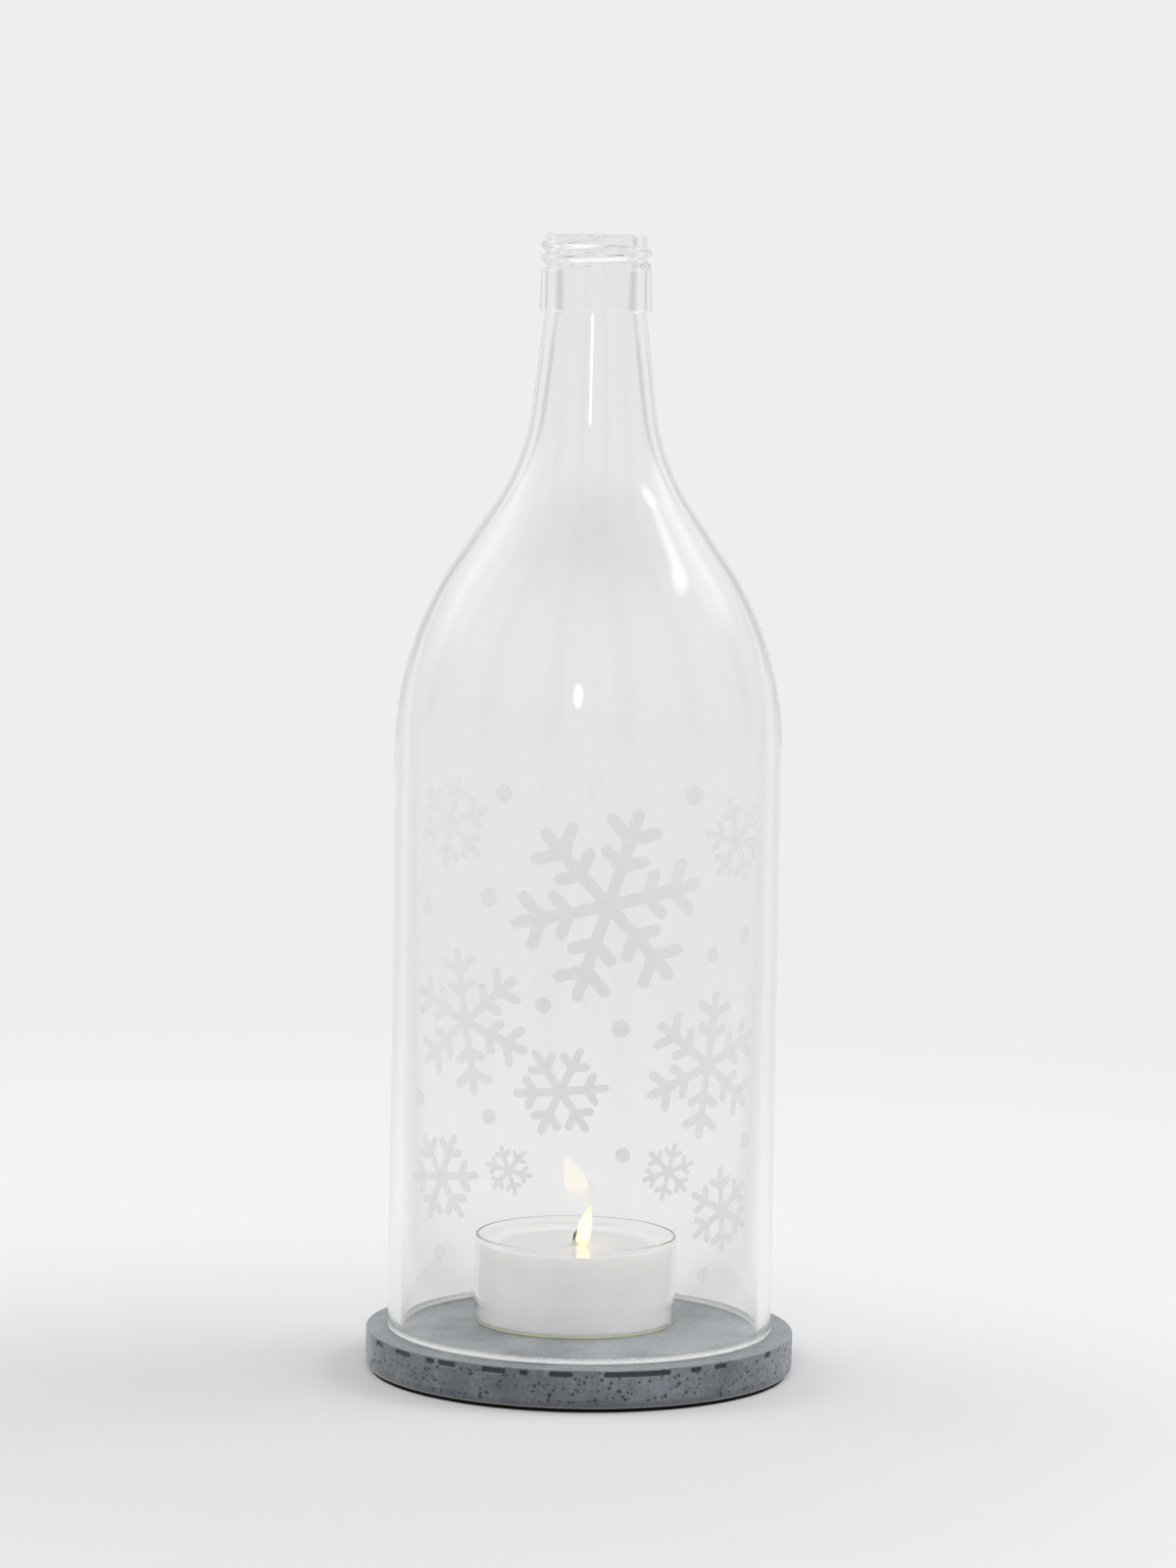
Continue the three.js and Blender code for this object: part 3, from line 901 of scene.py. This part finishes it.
def make_wax():
    """The wax stands on the cup's floor. It creeps up the cup's wall, its pool is lower than its rim, and
    there is room in its foot for the wick's metal foot."""
    radius = CUP_RADIUS - CUP_WALL - WAX_GAP
    pool = WAX_HEIGHT - POOL_DEPTH
    outline = rounded([
        (SUSTAINER_ROOM_RADIUS, WAX_GAP, 0),
        (radius, WAX_GAP, CUP_FOOT_ROUND - CUP_WALL),
        (radius, WAX_HEIGHT + CREEP_HEIGHT, CREEP_TIP_ROUND),
        (radius - CREEP_WIDTH, WAX_HEIGHT, CREEP_ROUND),
        (POOL_EDGE + BANK_WIDTH, WAX_HEIGHT - BANK_DROP, BANK_TOP_ROUND),
        (POOL_EDGE, pool, BANK_FOOT_ROUND),
        (WICK_RADIUS + MENISCUS_WIDTH, pool, MENISCUS_HEIGHT),
        (WICK_RADIUS + WICK_ROOM, pool + MENISCUS_HEIGHT, 0),
        (WICK_RADIUS + WICK_ROOM, TUBE_ROOM_HEIGHT, 0),
        (TUBE_ROOM_RADIUS, TUBE_ROOM_HEIGHT, 0),
        (TUBE_ROOM_RADIUS, SUSTAINER_ROOM_HEIGHT, 0),
        (SUSTAINER_ROOM_RADIUS, SUSTAINER_ROOM_HEIGHT, 0),
    ], support=0.05)
    outline = divided(outline, lambda radius, height: WAX_ROW)
    mesh = turned_mesh("wax", turned_grid(outline, CANDLE_STEPS), closed=True)
    filling = piece(mesh, wax_foot, "candle", [wax()])
    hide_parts("candle_wax")


def wick_axis(t):
    """A point on the wick's axis, for t from 0 at its foot through 0.5 at the wax to 1 at its tip."""
    if t < 0.5:
        return Vector((0, 0, WAX_HEIGHT * 2 * t))
    s = 2 * t - 1
    return Vector((WICK_LEAN * s * s, 0, WAX_HEIGHT + WICK_RISE * s))


def make_wick():
    """A braided wick that runs up through the wax and leans over at its tip."""
    rings = 64
    sides = 20
    nearby = 0.01
    places = np.zeros((rings, sides, 3))
    for i in range(rings):
        t = i / (rings - 1)
        ahead = (wick_axis(min(t + nearby, 1)) - wick_axis(max(t - nearby, 0))).normalized()
        across = Vector((0, 1, 0))
        along = across.cross(ahead)
        past = max(t - (1 - WICK_END), 0) / WICK_END
        end = math.sqrt(max(1 - past ** 2, WICK_END_AREA))
        for k in range(sides):
            angle = 2 * math.pi * k / sides
            lay = math.cos(WICK_STRANDS * (angle + WICK_TWIST * t))
            radius = WICK_RADIUS * end * (1 - WICK_LAY + WICK_LAY * lay)
            places[i, k] = wick_axis(t) + radius * (math.cos(angle) * along + math.sin(angle) * across)
    mesh = grid_mesh("burnt_wick", places, closed=False)
    wick = piece(mesh, wax_foot, "candle", [burnt_wick()])
    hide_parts("wick")


def flame_width(t):
    """The flame's width as a share of its widest, for t from 0 at its foot to 1 at its tip: a round foot
    and a pointed top."""
    if t < FLAME_WIDEST:
        return math.sqrt(1 - (1 - t / FLAME_WIDEST) ** 2)
    return math.cos(math.pi / 2 * (t - FLAME_WIDEST) / (1 - FLAME_WIDEST)) ** FLAME_POINT_POWER


def flame_mesh(name, swell):
    """A tear of fire that leans with the draught. Swollen, it is that much wider all round, begins as much
    lower and ends twice as much higher."""
    rings = 40
    sides = 28
    places = np.zeros((rings, sides, 3))
    for i in range(rings):
        t = i / (rings - 1)
        width = (FLAME_RADIUS + swell) * max(flame_width(t), FLAME_END_WIDTH)
        centre = Vector((FLAME_LEAN * t ** FLAME_LEAN_POWER, 0, -swell + (FLAME_HEIGHT + 3 * swell) * t))
        for k in range(sides):
            angle = 2 * math.pi * k / sides
            places[i, k] = centre + width * Vector((math.cos(angle), math.sin(angle), 0))
    return grid_mesh(name, places, closed=False)


def make_flame():
    """A bright core inside a thin mantle. The flame isn't a solid, so it replaces no node."""
    foot = wax_foot + Vector((FLAME_SHIFT, 0, WAX_HEIGHT - FLAME_SINK)) * MM
    piece(flame_mesh("flame_core", 0), foot, "candle", [flame_core()])
    piece(flame_mesh("flame_fringe", FLAME_MANTLE), foot, "candle", [flame_fringe()])


def dress_sustainer():
    """The wick's metal foot stays the CAD solid, with a material of its own."""
    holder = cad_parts["wick_sustainer"]
    holder.data.materials.clear()
    holder.data.materials.append(tinned_steel())


# Studio, in metres and watts

BACKGROUND = (0.845, 0.862, 0.858, 1)
# The floor is pale paper round its middle. Over the first fade it turns into a lit far floor, and over the
# second one that turns into the background, so that no edge shows.
FLOOR_COLOR = (0.635, 0.647, 0.643, 1)
FAR_FLOOR = (0.9, 0.915, 0.911, 1)
FLOOR_RADIUS = 6.0
FLOOR_MIDDLE = (-0.06, -0.1, 0)
FLOOR_FADE = (0.08, 0.34)
BACKDROP_FADE = (0.35, 0.9)
# Even light on the object from all round
WORLD_LIGHT = 0.55
# Pale panels stand all round, with dimmer gaps where a wave round the studio is low
PANELS = 8
PANEL_GAP_WAVE = (-1.0, -0.3)
PANEL_GAP_LEVEL = 0.72
FLOOR_GAP_LEVEL = 0.88
# The studio is brighter high up and dim overhead. Each sets in between two heights on a sphere of radius 1.
HIGH_RISE = (0.1, 0.45)
HIGH_LEVEL = 1.2
OVERHEAD_RISE = (0.6, 0.95)
OVERHEAD_LEVEL = 0.42
# Light crosses many faces of glass in the thread and runs a long way inside the shoulder's wall
GLASS_BOUNCES = 256
LAMP_TARGET = Vector((0, 0, 0.15))
# A lamp that shows dims between these shares of the way from its middle to its edge
LAMP_FADE = (0.2, 1.0)
# Broad lamps that light the object, and weaker ones that shine in its glass: name, place, width, height,
# power, and whether the lamp shows
LAMPS = [
    ("left_softbox", (-1.25, 0.1, 0.9), 0.9, 0.9, 7.5, False),
    ("right_softbox", (1.25, 0.1, 0.9), 0.9, 0.9, 10, False),
    ("front_softbox", (-0.15, -1.78, 1.0), 0.8, 0.8, 16, False),
    ("left_glow", (-1.12, 0.51, 0.95), 1.1, 1.4, 3.8, True),
    ("right_glow", (1.12, 0.51, 1.0), 0.9, 1.0, 3.2, True),
    ("right_lamp", (1.06, 0.05, 1.19), 0.6, 0.3, 2.1, True),
    ("front_lamp", (-0.21, -1.75, 0.75), 0.24, 0.34, 3, True),
]


def seen(tree):
    """1 for what the camera sees, straight or by way of gloss or glass."""
    path = add(tree, "LightPath")
    through = maths(tree, "MAXIMUM", path.outputs["Is Glossy Ray"], path.outputs["Is Transmission Ray"])
    return maths(tree, "MAXIMUM", path.outputs["Is Camera Ray"], through)


def panels(tree, towards, gap_level):
    """How bright the studio's panels and the gaps between them are in a direction from its middle."""
    bearing = maths(tree, "ARCTAN2", towards["Y"], towards["X"])
    wave = maths(tree, "COSINE", maths(tree, "MULTIPLY", bearing, PANELS))
    return ramp(tree, wave, *PANEL_GAP_WAVE, gap_level, 1.0)


def plain_behind(tree, level):
    """Plain and even straight behind the object, and at this level in what shines in its glass."""
    straight = add(tree, "LightPath").outputs["Is Camera Ray"]
    return add(tree, "Mix", {0: straight, 2: level, 3: 1.0}, data_type="FLOAT").outputs[0]


def make_floor():
    """A plain pale floor that fades into the backdrop's colour."""
    material, tree, output = blank_material("floor")
    coords = add(tree, "TexCoord").outputs["Object"]
    away = add(tree, "VectorMath", {0: coords, 1: FLOOR_MIDDLE}, operation="DISTANCE").outputs["Value"]
    paper = add(tree, "BsdfDiffuse", {"Color": FLOOR_COLOR})
    lit = blend(tree, ramp(tree, away, *BACKDROP_FADE, 0.0, 1.0), FAR_FLOOR, BACKGROUND)
    around = panels(tree, add(tree, "SeparateXYZ", {0: coords}).outputs, FLOOR_GAP_LEVEL)
    backdrop = add(tree, "Emission", {"Color": lit, "Strength": plain_behind(tree, around)})
    far = maths(tree, "MULTIPLY", ramp(tree, away, *FLOOR_FADE, 0.0, 1.0), seen(tree))
    mixed = add(tree, "MixShader", {0: far, 1: paper.outputs[0], 2: backdrop.outputs[0]})
    tree.links.new(mixed.outputs[0], output.inputs["Surface"])
    outline = circle((0, 0), FLOOR_RADIUS)
    mesh = bpy.data.meshes.new("floor")
    mesh.from_pydata([(*place, 0) for place in outline], [], [range(len(outline))])
    mesh.materials.append(material)
    floor = bpy.data.objects.new("floor", mesh)
    bpy.context.scene.collection.objects.link(floor)


def make_world():
    """Even light on the object, and the studio's walls for what the camera sees in glass or gloss."""
    world = bpy.data.worlds.new("studio")
    world.use_nodes = True
    tree = world.node_tree
    tree.nodes.clear()
    ambient = add(tree, "Background", {"Color": (1, 1, 1, 1), "Strength": WORLD_LIGHT})
    towards = add(tree, "SeparateXYZ", {0: add(tree, "TexCoord").outputs["Generated"]}).outputs
    above = ramp(tree, towards["Z"], *HIGH_RISE, 1.0, HIGH_LEVEL)
    overhead = ramp(tree, towards["Z"], *OVERHEAD_RISE, 1.0, OVERHEAD_LEVEL)
    around = panels(tree, towards, PANEL_GAP_LEVEL)
    level = maths(tree, "MULTIPLY", around, maths(tree, "MULTIPLY", above, overhead))
    backdrop = add(tree, "Background", {"Color": BACKGROUND, "Strength": plain_behind(tree, level)})
    mixed = add(tree, "MixShader", {0: seen(tree), 1: ambient.outputs[0], 2: backdrop.outputs[0]})
    output = add(tree, "OutputWorld")
    tree.links.new(mixed.outputs[0], output.inputs["Surface"])
    bpy.context.scene.world = world


def softbox(name, place, width, height, power, shows):
    """A soft lamp that faces the bottle. It isn't seen behind the glass. A lamp that shows is mirrored in
    the glass and fades from its middle to its edge, as a diffuser does."""
    facing = (LAMP_TARGET - Vector(place)).to_track_quat("-Z", "Y")
    data = bpy.data.lights.new(name, "AREA")
    data.shape = "ELLIPSE" if shows else "RECTANGLE"
    data.size = width
    data.size_y = height
    data.energy = power
    if shows:
        data.use_nodes = True
        tree = data.node_tree
        tree.nodes.clear()
        point = add(tree, "NewGeometry").outputs["Position"]
        away = add(tree, "VectorMath", {0: point, 1: place}, operation="SUBTRACT").outputs["Vector"]
        across = facing @ Vector((2 / width, 0, 0))
        along = facing @ Vector((0, 2 / height, 0))
        shares = [
            add(tree, "VectorMath", {0: away, 1: axis}, operation="DOT_PRODUCT").outputs["Value"]
            for axis in (across, along)
        ]
        flat = add(tree, "CombineXYZ", {0: shares[0], 1: shares[1]}).outputs[0]
        share = add(tree, "VectorMath", {0: flat}, operation="LENGTH").outputs["Value"]
        glow = add(tree, "Emission", {"Strength": ramp(tree, share, *LAMP_FADE, 1.0, 0.0)})
        tree.links.new(glow.outputs[0], add(tree, "OutputLight").inputs["Surface"])
    lamp = bpy.data.objects.new(name, data)
    bpy.context.scene.collection.objects.link(lamp)
    lamp.location = place
    lamp.rotation_euler = facing.to_euler()
    lamp.visible_camera = False
    lamp.visible_transmission = False
    lamp.visible_glossy = shows


def make_camera():
    """The camera at the photograph's place and angle."""
    data = bpy.data.cameras.new("camera")
    data.sensor_width = SENSOR_LONG_SIDE
    data.lens = FOCAL_LENGTH_PIXELS / FRAME_LONG_SIDE_PIXELS * SENSOR_LONG_SIDE
    camera = bpy.data.objects.new("camera", data)
    bpy.context.scene.collection.objects.link(camera)
    tilt = Matrix.Rotation(math.radians(90 - CAMERA_PITCH), 4, "X")
    roll = Matrix.Rotation(math.radians(CAMERA_ROLL), 4, "Z")
    camera.matrix_world = Matrix.Translation(CAMERA_PLACE) @ tilt @ roll
    bpy.context.scene.camera = camera


make_bottle()
make_frost()
make_base()
make_pad()
make_cup()
make_wax()
make_wick()
dress_sustainer()
make_flame()
make_floor()
make_world()
for lamp in LAMPS:
    softbox(*lamp)
make_camera()
bpy.context.scene.view_settings.view_transform = "Standard"
cycles = bpy.context.scene.cycles
cycles.max_bounces = GLASS_BOUNCES
cycles.glossy_bounces = GLASS_BOUNCES
cycles.transmission_bounces = GLASS_BOUNCES
cycles.transparent_max_bounces = GLASS_BOUNCES
